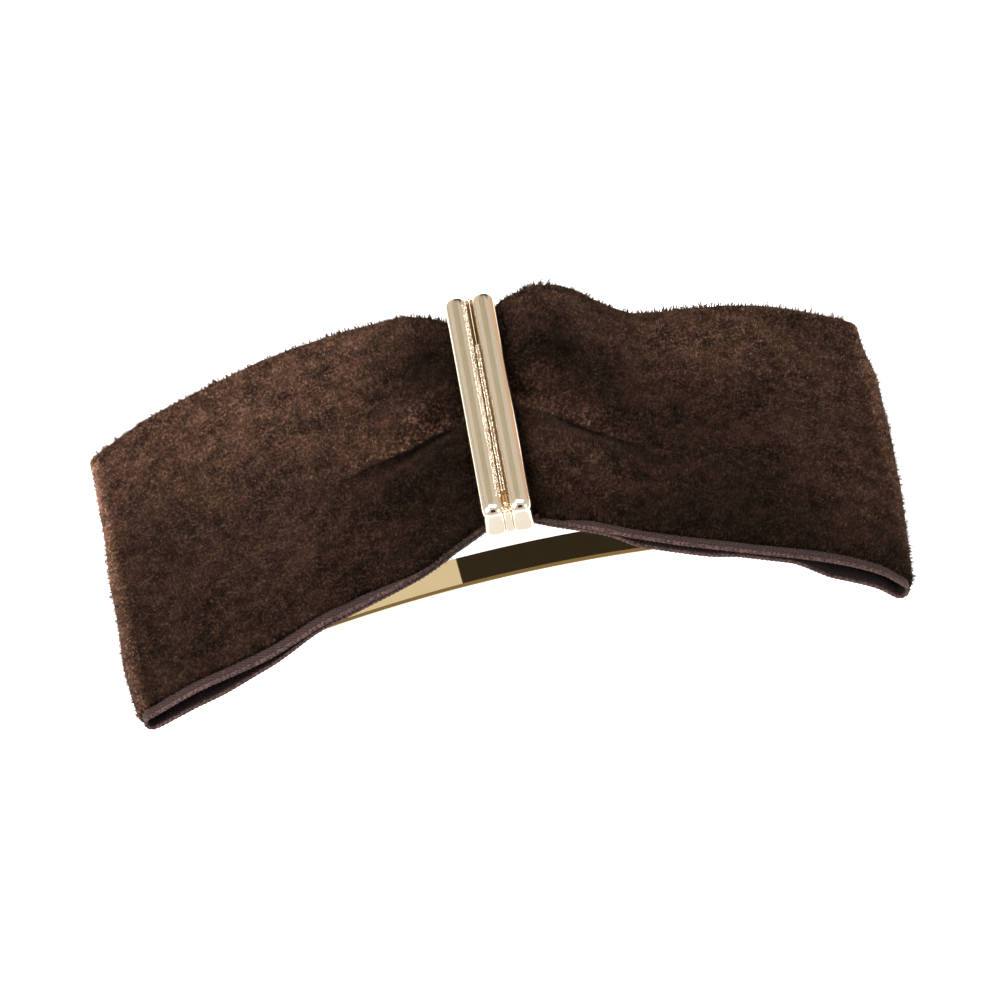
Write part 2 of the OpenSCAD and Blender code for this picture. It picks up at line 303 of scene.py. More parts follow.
# Three lists go by distance from the clasp: gap is the room between a loop's two layers,
# selvedge the bare width at the lower edge, and valley a dip's place across, depth and half
# width. Bulge is how far the middle of the end stands out. Ridges and hollows are mounds and
# dips: place along, place across, half length, half width and height. All are in mm.
edges = {
    "left": {
        "side": -1,
        "top": [(0.4, 16.8, 3.2), (1.7, 17.2, 3.2), (2.6, 20.4, 3.1), (6.8, 22.6, 2.9), (10.4, 23.9, 3.8),
                (16.3, 24.8, 5.1), (24, 25, 6.8), (32.2, 25, 9.6), (39, 25, 12.3), (45.7, 25, 16.2)],
        "bottom": [(0.4, 16.0, 3.2), (1.7, 16.4, 3.0), (2.6, 17.6, 2.9), (7, 19.1, 4.3), (11.4, 20.9, 5.7),
                   (16.8, 22.4, 6.7), (22, 24.1, 7.3), (30.9, 25, 10.7), (38.2, 25, 13.0), (44.4, 25, 15.7)],
        "gap": [(0, 0.1), (24, 0.2), (31, 0.9), (38, 1.7), (45, 1.3)],
        "selvedge": [(0, 0.0), (9, 0.0), (14, 0.6), (19, 1.3), (50, 1.35)],
        "valley": [(0, 4.5, 3.0, 2.4), (3, 4.0, 3.1, 2.6), (7.2, 2.4, 2.6, 3.2), (13.2, 0.7, 1.4, 4.0),
                   (22, -1.0, 0.0, 4.5)],
        "bulge": 0.0,
        "ridges": [(6.0, 8.0, 5.0, 4.5, 0.9), (6.5, -6.5, 6.0, 3.6, 0.8)],
        "hollow": [(30, -4, 9, 16, 0.5)],
    },
    "right": {
        "side": 1,
        "top": [(0.4, 16.8, 3.2), (1.7, 17.2, 3.0), (2.6, 20.6, 1.9), (6.5, 22.3, 1.6), (9.5, 23.6, 2.6),
                (12.3, 24.4, 4.5), (15.9, 24.8, 8.0), (19, 25, 10.0), (25.9, 25, 10.7), (32.6, 25, 12.0),
                (39.2, 25, 14.7), (43.3, 25, 16.9)],
        "bottom": [(0.4, 16.6, 3.2), (1.7, 17.0, 3.0), (2.6, 18.7, 2.2), (9.4, 21.1, 3.4), (14.3, 23.0, 4.3),
                   (21.6, 24.5, 6.2), (30.9, 25, 9.3), (37.1, 25, 11.9), (41.6, 25, 14.5), (44.3, 25, 17.2)],
        "gap": [(0, 0.1), (11, 0.15), (15, 0.8), (22, 0.8), (26, 0.35), (31, 0.4), (37, 1.8), (44, 1.4)],
        "selvedge": [(0, 0.0), (5, 0.3), (9, 1.1), (50, 1.3)],
        "valley": [(0, 5.5, 3.0, 2.4), (2.5, 5.2, 3.4, 2.6), (6.4, 2.9, 3.3, 3.2), (10.8, -0.7, 2.5, 4.4),
                   (15.2, -4.1, 1.4, 5.0), (24, -8.5, 0.0, 5.0)],
        "bulge": 0.8,
        "ridges": [(6.5, 10.5, 5.5, 4.5, 1.3), (10.5, -8.5, 7.0, 4.2, 1.7)],
        "hollow": [(24, 2, 8, 12, 0.9)],
    },
}


def smooth_through(points, x):
    """A smooth curve through (x, value) points: cubic pieces whose slopes never overshoot."""
    px = np.array([p[0] for p in points], float)
    py = np.array([p[1] for p in points], float)
    step = np.diff(px)
    rise = np.diff(py) / step
    slope = np.empty_like(py)
    slope[0], slope[-1] = rise[0], rise[-1]
    same = rise[:-1] * rise[1:] > 0
    mean = 2 * rise[:-1] * rise[1:] / np.where(same, rise[:-1] + rise[1:], 1)
    slope[1:-1] = np.where(same, mean, 0)
    x = np.clip(x, px[0], px[-1])
    i = np.clip(np.searchsorted(px, x, side="right") - 1, 0, len(step) - 1)
    t = (x - px[i]) / step[i]
    a, b = py[i], py[i + 1]
    m, n = slope[i] * step[i], slope[i + 1] * step[i]
    return a + t * (m + t * ((3 * (b - a) - 2 * m - n) + t * (m + n - 2 * (b - a))))


def waves(x, y, seed, count, shortest, longest):
    """Gentle seeded undulation, about -1 to 1."""
    rng = np.random.default_rng(seed)
    total = np.zeros_like(x)
    for _ in range(count):
        length = rng.uniform(shortest, longest)
        turn = rng.uniform(0, math.tau)
        shift = rng.uniform(0, math.tau)
        total += np.sin((x * math.cos(turn) + y * math.sin(turn)) / length * math.tau + shift)
    return total / math.sqrt(count)


def pile_face(loop, x, v):
    """The face of the pile at distance x from the clasp and share v (-1 to 1) across. All in mm."""
    y_top = smooth_through([(p[0], p[1]) for p in loop["top"]], x)
    y_low = -smooth_through([(p[0], p[1]) for p in loop["bottom"]], x)
    d_top = smooth_through([(p[0], p[2]) for p in loop["top"]], x)
    d_low = smooth_through([(p[0], p[2]) for p in loop["bottom"]], x)
    share = (v + 1) / 2
    y = y_low + (y_top - y_low) * share
    blend = share * share * (3 - 2 * share)
    depth = d_low + (d_top - d_low) * (0.5 * share + 0.5 * blend)
    inner = 1 - v ** 4
    depth -= 0.5 * inner * np.sin(np.clip(x / 44, 0, 1) * math.pi)
    valley = loop["valley"]
    centre, sink, spread = (
        smooth_through([(p[0], p[k]) for p in valley], x) for k in (1, 2, 3)
    )
    sharper = np.where(y > centre, 0.5, 1.0)
    depth += sink * np.exp(-(((y - centre) / (spread * sharper)) ** 2))
    for rx, ry, wx, wy, lift in loop["ridges"]:
        depth -= lift * np.exp(-(((x - rx) / wx) ** 2) - ((y - ry) / wy) ** 2)
    for hx, hy, wx, wy, sink in loop["hollow"]:
        depth += sink * np.exp(-(((x - hx) / wx) ** 2) - ((y - hy) / wy) ** 2)
    free = np.clip((x - 4) / 14, 0, 1)
    depth += 0.16 * free * inner * waves(x, y, 11 + loop["side"], 7, 7, 18)
    under_clasp = np.clip((3.2 - x) / 0.8, 0, 1)
    return y, np.maximum(depth, 2.7 * under_clasp)


def normals_of(grid):
    along = np.gradient(grid, axis=0)
    across = np.gradient(grid, axis=1)
    n = np.cross(along, across)
    return n / np.linalg.norm(n, axis=2, keepdims=True)


def loop_path(loop):
    """The ribbon's middle surface from the clasp, round the fold and back, and its outward normals."""
    v = np.linspace(-1, 1, across_n)
    reach = pile_length / mm + ground_t / mm / 2
    end = loop["bottom"][-1][0] + (loop["top"][-1][0] - loop["bottom"][-1][0]) * (v + 1) / 2
    end = end - fold_reach[loop["side"]] + loop["bulge"] * (1 - v ** 2)
    start = loop_start / mm
    t = np.linspace(0, 1, front_n)
    x = start + (end[None, :] - start) * t[:, None]
    y, depth = pile_face(loop, x, np.broadcast_to(v, x.shape))
    face_grid = np.stack([x, y, face_z / mm - depth], axis=2)
    out = normals_of(face_grid)
    front = face_grid - out * reach
    gap = ground_t / mm + smooth_through(loop["gap"], x)
    back = front - out * gap[:, :, None]
    along = front[-1] - front[-3]
    along /= np.linalg.norm(along, axis=1, keepdims=True)
    turns = np.linspace(0, math.pi, fold_n + 2)[1:-1]
    centre = (front[-1] + back[-1]) / 2
    radius = gap[-1][:, None] / 2
    fold = np.stack([centre + radius * (out[-1] * math.cos(a) + along * math.sin(a)) for a in turns])
    path = np.concatenate([front, fold, back[::-1]])
    path[:, :, 0] *= loop["side"]
    path *= mm
    n = normals_of(path) * loop["side"]
    return path, n


def grid_faces(rows, columns, offset=0, flip=False):
    i, j = np.meshgrid(np.arange(rows - 1), np.arange(columns - 1), indexing="ij")
    a = (offset + i * columns + j).ravel()
    quads = np.stack([a, a + columns, a + columns + 1, a + 1], axis=1)
    return quads[:, ::-1] if flip else quads


def mesh_from(name, verts, faces, material):
    """A mesh object from arrays of corners and of faces with equal numbers of corners."""
    mesh = bpy.data.meshes.new(name)
    mesh.vertices.add(len(verts))
    mesh.vertices.foreach_set("co", np.asarray(verts, np.float32).ravel())
    size = faces.shape[1]
    mesh.loops.add(faces.size)
    mesh.loops.foreach_set("vertex_index", faces.astype(np.int32).ravel())
    mesh.polygons.add(len(faces))
    mesh.polygons.foreach_set("loop_start", np.arange(0, faces.size, size, dtype=np.int32))
    mesh.materials.append(material)
    mesh.polygons.foreach_set("use_smooth", np.full(len(faces), True))
    mesh.update(calc_edges=True)
    mesh.validate()
    made = bpy.data.objects.new(name, mesh)
    bpy.context.collection.objects.link(made)
    return made


def weave_look():
    """The plum-brown ground: fine diagonal ribs with a pale speck where a thread catches light.

    By the clasp it takes the pile's colour, because a real pile hangs over the edge there.
    """
    look = Look("ribbon_weave", roughness=0.8, sheen_weight=0.04, sheen_roughness=0.4)
    look.shader.inputs["Specular IOR Level"].default_value = 0.15
    x, y = look.split(look.place())[:2]
    twill = ((x * 0.55 + y) * (math.tau / (0.42 * mm))).sine() * 0.5 + 0.5
    cross = ((x - y * 0.3) * (math.tau / (0.36 * mm))).sine() * 0.5 + 0.5
    ribs = twill * 0.7 + cross * 0.3
    fleck = look.noise(0.25 * mm, detail=2).step(0.55, 0.8)
    tone = look.mix(ribs, srgb(10, 5, 5), srgb(50, 32, 30))
    bare = 1 - x.step(-15 * mm, -10 * mm) * (1 - x.step(4 * mm, 7 * mm))
    woven = look.mix(fleck * 0.45, tone, srgb(96, 70, 62))
    look.feed("Base Color", look.mix(bare, srgb(34, 21, 16), woven))
    look.bump(ribs + fleck * 0.4, 0.09 * mm)
    return look.material


def selvedge_look():
    """The edge cord: plied plum yarn whose loops catch a little light."""
    look = Look("selvedge_yarn", roughness=0.7, sheen_weight=0.04, sheen_roughness=0.4)
    look.shader.inputs["Specular IOR Level"].default_value = 0.15
    fine = look.noise(0.3 * mm, detail=2)
    slow = look.noise(2 * mm, detail=2)
    yarn_tone = look.mix(fine.step(0.35, 0.7) * 0.75 + slow * 0.25, srgb(18, 9, 9), srgb(80, 56, 51))
    x = look.split(look.place())[0]
    bare = 1 - x.step(-15 * mm, -10 * mm) * (1 - x.step(5 * mm, 9 * mm))
    pile_tone = look.mix(fine.step(0.35, 0.7), srgb(22, 13, 10), srgb(58, 38, 29))
    look.feed("Base Color", look.mix(bare, pile_tone, yarn_tone))
    look.bump(fine, 0.05 * mm)
    return look.material


def painted_shading(x, y):
    """A factor that is 1 but for patches of painted light and shade, lighter or darker."""
    factor = 1 + x * 0
    for centre_x, centre_y, wide, tall, gain in painted_shading_patches:
        along = (x - centre_x * mm) * (1 / (wide * mm))
        across = (y - centre_y * mm) * (1 / (tall * mm))
        factor = factor + ((along * along + across * across) * -1).math("EXPONENT") * gain
    return factor


def crease_shade(x, y, far):
    """A painted dark side under each crease, and a light lip above it, that fade from the clasp."""
    right = x.step(-0.1 * mm, 0.1 * mm)
    left_line = left_crease[0] * mm - far * left_crease[1]
    right_line = right_crease[0] * mm - far * right_crease[1]
    above = y - (left_line * (1 - right) + right_line * right)
    fade = 1 - far.step(7 * mm, 24 * mm)
    shaded = above.step(-4.5 * mm, -0.6 * mm) * (1 - above.step(-0.2 * mm, 0.4 * mm)) * fade
    lip = above.step(0, 0.5 * mm) * (1 - above.step(0.5 * mm, 4 * mm)) * fade
    return (1 - shaded * crease_dark) * (1 + lip * crease_light)


def velvet_look(name, share):
    """Cut pile: each tuft a little different, in patches where the nap lies another way.

    The right loop is painted darker, as shade where the nap turns away from the light.
    """
    look = Look(name, roughness=0.9, sheen_weight=0.018, sheen_roughness=0.35)
    look.shader.inputs["Sheen Tint"].default_value = (0.95, 0.72, 0.55, 1)
    look.shader.inputs["Specular IOR Level"].default_value = 0.02
    x, y = look.split(look.place())[:2]
    # Painted shade: the right loop's colour is made darker.
    painted_right_shade = x.step(-2 * mm, 9 * mm)
    patches = look.noise(5 * mm, detail=4, rough=0.6).step(0.38, 0.62)
    blotch = look.noise(1.7 * mm, detail=4, rough=0.65).step(0.36, 0.64)
    tuft = look.noise(0.4 * mm, detail=2, rough=0.65).step(0.45, 0.66)
    fleck = look.noise(0.45 * mm, detail=0).step(0.74, 0.8)
    tone = look.mix(patches * 0.5 + blotch * 0.5, pile_dark, pile_mid)
    tone = look.mix(tuft * (blotch * 0.4 + 0.25), tone, pile_pale)
    tone = look.mix(fleck * 0.5, tone, pile_fleck)
    # Painted light: the velvet is lighter towards the upper edge and darker towards the lower.
    painted_upper_light = y.step(-24 * mm, 26 * mm) * 1.15 + 0.5
    far = x.math("ABSOLUTE")
    # Painted shade: the left loop is darker next to the clasp.
    painted_clasp_shade = 1 - (1 - far.step(3 * mm, 20 * mm)) * (1 - painted_right_shade) * 0.7
    # Painted light along the folded outer ends of both loops.
    painted_left_rim_light = (-x - y * 0.026).step(44.3 * mm, 45.7 * mm) * 2.4
    painted_right_rim_light = (x + y * 0.02).step(42.6 * mm, 44.2 * mm) * 1.4
    # Painted light: the velvet grows lighter towards the right loop's end.
    end = x.step(24 * mm, 42 * mm) * 0.45
    nap = painted_upper_light * painted_clasp_shade * (1 - painted_right_shade * 0.36) * (1 + painted_left_rim_light + painted_right_rim_light + end)
    # Painted light and shade in patches, and painted shade and light at the creases.
    nap = nap * painted_shading(x, y) * crease_shade(x, y, far)
    look.feed("Base Color", look.shade(tone, nap * share))
    return look.material


# A crease starts this far above the middle, in mm, and falls by this share of its way out.
left_crease = (4.9, 0.33)
right_crease = (7.0, 0.73)
crease_dark = 0.88
crease_light = 1.3
# Places (x, y, half width, half height, gain) of painted light and shade, lighter or darker, in mm.
painted_shading_patches = [
    (-41, 3, 7, 14, -0.42), (-27, 0, 9, 8, -0.25), (-27, 17, 12, 6, 0.15), (-11.4, -7, 6, 5, -0.45),
    (-8, 4.5, 5, 2.4, 0.8), (-6.5, 12, 5, 6, -0.4), (-5, -14, 5, 6, 0.3), (24, 2, 8, 6, -0.2),
    (25, 17, 12, 5, 0.5), (8, 10, 6, 7, -0.65), (6, 5, 4, 2, 0.6), (8.8, -13, 5, 6, 1.1),
    (16, -13, 6, 4, 0.6), (40, -12, 5, 9, 0.7), (38, 19, 5, 5, -0.35), (-9, 21, 7, 3, 0.4),
    (9, 21, 6, 3, 0.2),
]
pile_dark = (0.006, 0.003, 0.002)
pile_mid = (0.033, 0.0162, 0.0098)
pile_pale = (0.12, 0.064, 0.042)
pile_fleck = (0.16, 0.10, 0.07)
weave = weave_look()
selvedge = selvedge_look()
velvet = velvet_look("velvet", 1.0)
# A darker copy of the velvet for the pile bed: painted shade deep in the pile.
velvet_shaded = velvet_look("velvet_shaded", 0.55)


def pile_start(loop, path):
    """The share across (0 to 1) where the pile starts, row by row; it runs to the upper edge."""
    x = np.abs(path[:, across_n // 2, 0]) / mm
    bare = smooth_through(loop["selvedge"], x)
    return bare / (ribbon_w / mm)


def at(grid, i, j):
    """Looks a grid of points up at fractional rows and columns."""
    i0 = np.minimum(i.astype(int), grid.shape[0] - 2)
    j0 = np.minimum(j.astype(int), grid.shape[1] - 2)
    fi, fj = (i - i0)[..., None], (j - j0)[..., None]
    near = grid[i0, j0] * (1 - fj) + grid[i0, j0 + 1] * fj
    far = grid[i0 + 1, j0] * (1 - fj) + grid[i0 + 1, j0 + 1] * fj
    return near * (1 - fi) + far * fi


def shell(name, low, high, material):
    """A closed skin between two grids of the same size."""
    rows, columns = low.shape[:2]
    count = rows * columns
    ring = np.concatenate([
        np.arange(columns - 1), np.arange(rows - 1) * columns + columns - 1,
        (rows - 1) * columns + np.arange(columns - 1, 0, -1), np.arange(rows - 1, 0, -1) * columns,
    ])
    after = np.roll(ring, -1)
    faces = np.concatenate([
        grid_faces(rows, columns), grid_faces(rows, columns, count, flip=True),
        np.stack([ring, after, after + count, ring + count], axis=1),
    ])
    return mesh_from(name, np.concatenate([high.reshape(-1, 3), low.reshape(-1, 3)]), faces, material)


def ground_cloth(name, path, n):
    """The woven ground as a thin closed shell."""
    half = n * ground_t / 2
    return shell(name, path - half, path + half, weave)


def pile_bed(name, path, n, start):
    """The dense lower part of the pile, which only the tips of the tufts stand out of."""
    i, w = np.meshgrid(np.arange(len(path), dtype=float), np.linspace(0, 1, across_n), indexing="ij")
    j = (across_n - 1) * (start[:, None] + (1 - start[:, None]) * w)
    root = at(path, i, j)
    up = at(n, i, j)
    up /= np.linalg.norm(up, axis=2, keepdims=True)
    rim = np.clip(np.minimum(w, 1 - w) / 0.016, 0, 1)
    rounded = np.sqrt(1 - (1 - rim) ** 2)
    rough = 1 + 0.08 * np.random.default_rng(7).uniform(-1, 1, rounded.shape)
    height = ground_t * 0.5 + (bed_height * rounded * rough)
    # The bed takes the darker velvet copy, with painted shade.
    return shell(name, root + up * ground_t * 0.3, root + up * height[..., None], velvet_shaded)


def tufts(name, path, n, start, rows, number, seed, width, overhang):
    """Pile as closed three-sided tufts, set out in jittered rows between two rows of the path.

    Where the pile reaches the lower edge, its tufts lean out there by overhang. An overhang of
    0 also trims the tufts along the lower edge short.
    """
    rng = np.random.default_rng(seed)
    middle = path[rows[0]:rows[1], across_n // 2]
    run = np.concatenate([[0], np.cumsum(np.linalg.norm(np.diff(middle, axis=0), axis=1))])
    spacing = math.sqrt(run[-1] * ribbon_w / number)
    along_n = int(run[-1] / spacing)
    columns_n = int(ribbon_w / spacing)
    a, b = np.meshgrid(np.arange(along_n), np.arange(columns_n), indexing="ij")
    a = a.ravel() + rng.uniform(0, 1, a.size)
    b = b.ravel() + rng.uniform(0, 1, b.size)
    i = rows[0] + np.interp(a / along_n * run[-1], run, np.arange(len(run)))
    first = np.interp(i, np.arange(len(start)), start)
    w = b / columns_n
    share = first + (1 - first) * w
    up = at(n, i, (across_n - 1) * share)
    up /= np.linalg.norm(up, axis=1, keepdims=True)
    root = at(path, i, (across_n - 1) * share) + up * ground_t * 0.4
    side = np.cross(up, np.array([0.0, 1.0, 0.0]))
    side /= np.linalg.norm(side, axis=1, keepdims=True)
    front = np.cross(up, side)
    count = len(root)
    height = pile_length * rng.uniform(0.72, 1.12, count)
    x, y = root[:, 0] / mm, root[:, 1] / mm
    nap = waves(x, y, seed + 5, 6, 5, 16)
    clumps = rng.normal(0, 1, (along_n // clump_size + 2, columns_n // clump_size + 2, 3))
    clump = at(clumps, a / clump_size, b / clump_size)
    height *= 1 + 0.1 * clump[:, 2]
    full = np.where(first < 0.004, overhang, 0.3)
    spread = np.clip((w - 0.965) / 0.035, 0, 1) - np.clip((0.025 - w) / 0.025, 0, 1) * full
    lean = rng.normal(0, 0.15, (count, 2)) + 0.24 * clump[:, :2]
    lean *= (1 - 0.4 * np.abs(spread))[:, None]
    height *= 1 - 0.1 * np.abs(spread)
    if not overhang:
        height *= 1 - 0.6 * np.clip((0.06 - w) / 0.06, 0, 1)
    lean += np.stack([0.12 * nap, 0.1 * nap - 0.05 - 0.42 * spread], 1)
    tip = root + up * height[:, None] + (side * lean[:, :1] + front * lean[:, 1:]) * pile_length
    turn = rng.uniform(0, math.tau, count)
    radius = width * rng.uniform(0.75, 1.2, count)
    corners = []
    for k in range(3):
        angle = turn + k * math.tau / 3
        offset = side * (radius * np.cos(angle))[:, None] + front * (radius * np.sin(angle))[:, None]
        corners.append(root + offset)
    verts = np.stack([*corners, tip], axis=1).reshape(-1, 3)
    base = np.arange(count)[:, None] * 4
    faces = np.concatenate([base + np.array(f) for f in ((0, 1, 3), (1, 2, 3), (2, 0, 3), (2, 1, 0))])
    made = mesh_from(name, verts, faces, velvet)
    uv = made.data.uv_layers.new(name="OFBake")
    index = np.empty(len(made.data.loops), np.int32)
    made.data.loops.foreach_get("vertex_index", index)
    flat = verts[index][:, :2]
    low, high = flat.min(0), flat.max(0)
    uv.data.foreach_set("uv", ((flat - low) / (high - low)).astype(np.float32).ravel())
    return made


def yarn(name, line, radius, material, twist=0.0, bead=0.0, pitch=0.5 * mm, closed=False):
    """A thread along a line of points: two-ply where it twists, lumpy where it is beaded."""
    sides = 8
    after = np.roll(line, -1, axis=0)
    before = np.roll(line, 1, axis=0)
    if not closed:
        after[-1] = 2 * line[-1] - line[-2]
        before[0] = 2 * line[0] - line[1]
    along = after - before
    along /= np.linalg.norm(along, axis=1, keepdims=True)
    run = np.concatenate([[0], np.cumsum(np.linalg.norm(np.diff(line, axis=0), axis=1))])
    across = np.cross(along, np.array([0.13, 0.21, 0.97]))
    across /= np.linalg.norm(across, axis=1, keepdims=True)
    over = np.cross(along, across)
    angle = np.linspace(0, math.tau, sides, endpoint=False)
    turn = run[:, None] * twist
    size = radius * (1 + bead * np.abs(np.sin(run / pitch * math.pi)))[:, None]
    size = size * (1 - (0.22 if twist else 0) * np.sin(angle[None, :] - turn) ** 2)
    if not closed:
        size[0] *= 0.2
        size[-1] *= 0.2
    ring = (across[:, None] * np.cos(angle)[None, :, None] + over[:, None] * np.sin(angle)[None, :, None])
    verts = (line[:, None] + ring * size[..., None]).reshape(-1, 3)
    rows = len(line)
    i, j = np.meshgrid(np.arange(rows if closed else rows - 1), np.arange(sides), indexing="ij")
    i2, j2 = (i + 1) % rows, (j + 1) % sides
    faces = np.stack([i * sides + j, i * sides + j2, i2 * sides + j2, i2 * sides + j], axis=-1).reshape(-1, 4)
    ends = [] if closed else [tuple(range(sides))[::-1], tuple(range((rows - 1) * sides, rows * sides))]
    mesh = bpy.data.meshes.new(name)
    mesh.from_pydata(verts.tolist(), [], [tuple(f) for f in faces.tolist()] + ends)
    mesh.materials.append(material)
    mesh.shade_smooth()
    made = bpy.data.objects.new(name, mesh)
    bpy.context.collection.objects.link(made)
    return made


def resampled(line, step):
    run = np.concatenate([[0], np.cumsum(np.linalg.norm(np.diff(line, axis=0), axis=1))])
    at_run = np.linspace(0, run[-1], int(run[-1] / step))
    return np.stack([np.interp(at_run, run, line[:, k]) for k in range(3)], axis=1)


for side_name, loop in edges.items():
    path, n = loop_path(loop)
    start = pile_start(loop, path)
    seed = 100 + 10 * loop["side"]
    cloth = ground_cloth(f"{side_name}_ribbon_ground", path, n)
    fold_row = front_n + fold_n
    pile = [
        pile_bed(f"{side_name}_pile_bed", path, n, start),
        tufts(f"{side_name}_front_pile", path, n, start, (0, fold_row - 3), 49500, seed, 0.085 * mm, 1.9),
        tufts(f"{side_name}_back_pile", path, n, start, (fold_row - 4, len(path)), 34000, seed + 1,
              0.09 * mm, 0.0),
    ]
    cords = [
        yarn(f"{side_name}_{edge}_selvedge", resampled(path[:, column], 0.1 * mm), 0.2 * mm, selvedge,
             bead=0.35, pitch=0.55 * mm)
        for edge, column in (("lower", 0), ("upper", -1))
    ]
    for piece in [cloth, *pile, *cords]:
        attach(piece, "bow_and_base")
        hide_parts(f"{side_name}_loop")


# ---------------------------------------------------------------- clasp
# A zinc casting, polished and plated pale champagne: two round ribs that turn down into legs
# at both ends, joined by a sunken web. Tabs behind hold the pinched ribbon.

clasp_half = 20.4
rib_x = 1.56
rib_r = 1.36
rib_t = 1.0
rib_power = 0.88
rib_leg = 4.0
rib_corner = 1.2
rib_foot = 0.45


def gold_look(name, dark, pale, rough, grain=0.0):
    look = Look(name, metallic=1.0)
    tone = look.noise(3 * mm, detail=3)
    fine = look.noise(0.25 * mm, detail=3, stretch=(1, 0.12, 1))
    look.feed("Base Color", look.mix(tone * 0.6 + fine * 0.4, dark, pale))
    look.feed("Roughness", look.noise(0.8 * mm, detail=4) * 0.06 + rough)
    if grain:
        look.bump(fine, grain * mm)
    return look


champagne = gold_look("champagne_gold", (0.60, 0.495, 0.36), (0.68, 0.565, 0.42), 0.1, 0.002).material
# Painted shade and reflection: the groove's floor is coloured dark copper.
groove_shade = gold_look("clasp_groove", (0.13, 0.065, 0.022), (0.21, 0.11, 0.04), 0.3).material


def granulated_look():
    """Fused grains: some catch the light and some lie in their neighbours' shade."""
    look = Look("granulated_gold", metallic=1.0)
    sparkle = look.noise(0.19 * mm, detail=0).step(0.36, 0.66)
    look.feed("Base Color", look.mix(sparkle, (0.30, 0.23, 0.15), (0.88, 0.79, 0.64)))
    look.feed("Roughness", 0.34 - sparkle * 0.18)
    return look.material


granulated = granulated_look()


def from_face(points):
    """(x, y, depth behind the clasp's face) in mm, in metres in the model's frame."""
    return np.stack([points[..., 0] * mm, points[..., 1] * mm, face_z - points[..., 2] * mm], axis=-1)


def rounded_section(half_w, half_t, power, sides):
    angle = np.linspace(0, math.tau, sides, endpoint=False)
    c, s = np.cos(angle), np.sin(angle)
    return half_w * np.sign(c) * np.abs(c) ** power, half_t * np.sign(s) * np.abs(s) ** power


def lofted(rings):
    """Corners and faces of a closed body through rings of equal length."""
    rings = np.asarray(rings)
    rows, sides = rings.shape[:2]
    faces = []
    for i in range(rows - 1):
        for j in range(sides):
            k = (j + 1) % sides
            faces.append((i * sides + j, i * sides + k, (i + 1) * sides + k, (i + 1) * sides + j))
    faces.append(tuple(range(sides))[::-1])
    faces.append(tuple(range((rows - 1) * sides, rows * sides)))
    return rings.reshape(-1, 3), faces


def bent_bar(centre, half_w, half_t, top, end, leg, corner, foot):
    """A bar along y whose ends turn down into legs, mitred and slightly rounded at the corners.

    Top is the depth of its face and leg the depth of the legs' ends. Corner and foot are the
    roundings of the bend and of the legs' ends.
    """
    sides = 48
    wide, out = rounded_section(half_w, half_t, rib_power, sides)
    reach = end - half_t + out
    depth = top + half_t - out
    half = [(wide * 0.15, end - half_t + out * 0.15, np.full(sides, leg))]
    for b in np.linspace(0, math.pi / 2, 7):
        keep = 1 - foot / half_t * (1 - math.sin(b))
        half.append((wide * keep, end - half_t + out * keep, np.full(sides, leg - foot * (1 - math.cos(b)))))
    for a in np.linspace(0, math.pi / 2, 9):
        half.append((wide, reach - corner * (1 - math.cos(a)), depth + corner * (1 - math.sin(a))))
    for share in (0.95, 0.6, 0.3):
        half.append((wide, (reach - corner) * share, depth))
    rings = [np.stack([centre + x, y, d], axis=1) for x, y, d in half]
    mirrored = [r * np.array([1, -1, 1]) for r in rings]
    verts, faces = lofted(mirrored + rings[::-1])
    return from_face(verts), faces


def tab(y_low, y_high, depth):
    """A tongue behind the ribbon, bent in from the leg."""
    wide, thick = rounded_section(1.5, 0.25, 0.5, 24)
    rings = []
    for y, keep in ((y_low, 0.55), (y_low + 0.15, 0.85), (y_low + 0.5, 1), (y_high - 0.2, 1), (y_high, 0.9)):
        rings.append(np.stack([wide * keep, np.full(24, y), depth + thick * keep], axis=1))
    verts, faces = lofted(rings)
    return from_face(verts), faces


def joined(name, bodies):
    """One object from (corners, faces, material) bodies."""
    mesh = bpy.data.meshes.new(name)
    verts, faces, slots, materials = [], [], [], []
    for corners, polygons, material in bodies:
        if material not in materials:
            materials.append(material)
        offset = len(verts)
        verts.extend(corners.tolist())
        faces.extend(tuple(v + offset for v in f) for f in polygons)
        slots.extend([materials.index(material)] * len(polygons))
    mesh.from_pydata(verts, [], faces)
    for material in materials:
        mesh.materials.append(material)
    mesh.polygons.foreach_set("material_index", slots)
    mesh.shade_smooth()
    mesh.validate()
    made = bpy.data.objects.new(name, mesh)
    bpy.context.collection.objects.link(made)
    return made


def groove_floor():
    """The floor of the groove between the ribs, painted dark copper as shade and the repeated reflections
    that turn gold coppery.
    """
    wide, thick = rounded_section(0.6, 0.15, 0.6, 24)
    rings = []
    for y, keep in ((-18.9, 0.7), (-18.8, 1), (18.8, 1), (18.9, 0.7)):
        rings.append(np.stack([wide * keep, np.full(24, y), 0.78 + thick * keep], axis=1))
    verts, faces = lofted(rings)
    return from_face(verts), faces


casting = joined("clasp_casting", [
    (*bent_bar(-rib_x, rib_r, rib_t, 0, clasp_half, rib_leg, rib_corner, rib_foot), champagne),
    (*bent_bar(rib_x, rib_r, rib_t, 0, clasp_half, rib_leg, rib_corner, rib_foot), champagne),
    (*bent_bar(0, 0.55, 0.4, 0.75, clasp_half - 0.14, 3.75, 0.3, 0.2), champagne),
    (*groove_floor(), groove_shade),
    (*tab(14.9, 18.8, 3.75), champagne),
    (*tab(-18.8, -14.9, 3.75), champagne),
])
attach(casting, "bow_and_base")
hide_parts("clasp_bar")


# ---------------------------------------------------------------- clasp wire and granules
# A thin plated wire is soldered in the groove. Tiny gold grains are fused along most of it,
# and along the inner slope of the left rib.

wire_r = 0.28
wire_depth = 0.44
wire_half = 19.3


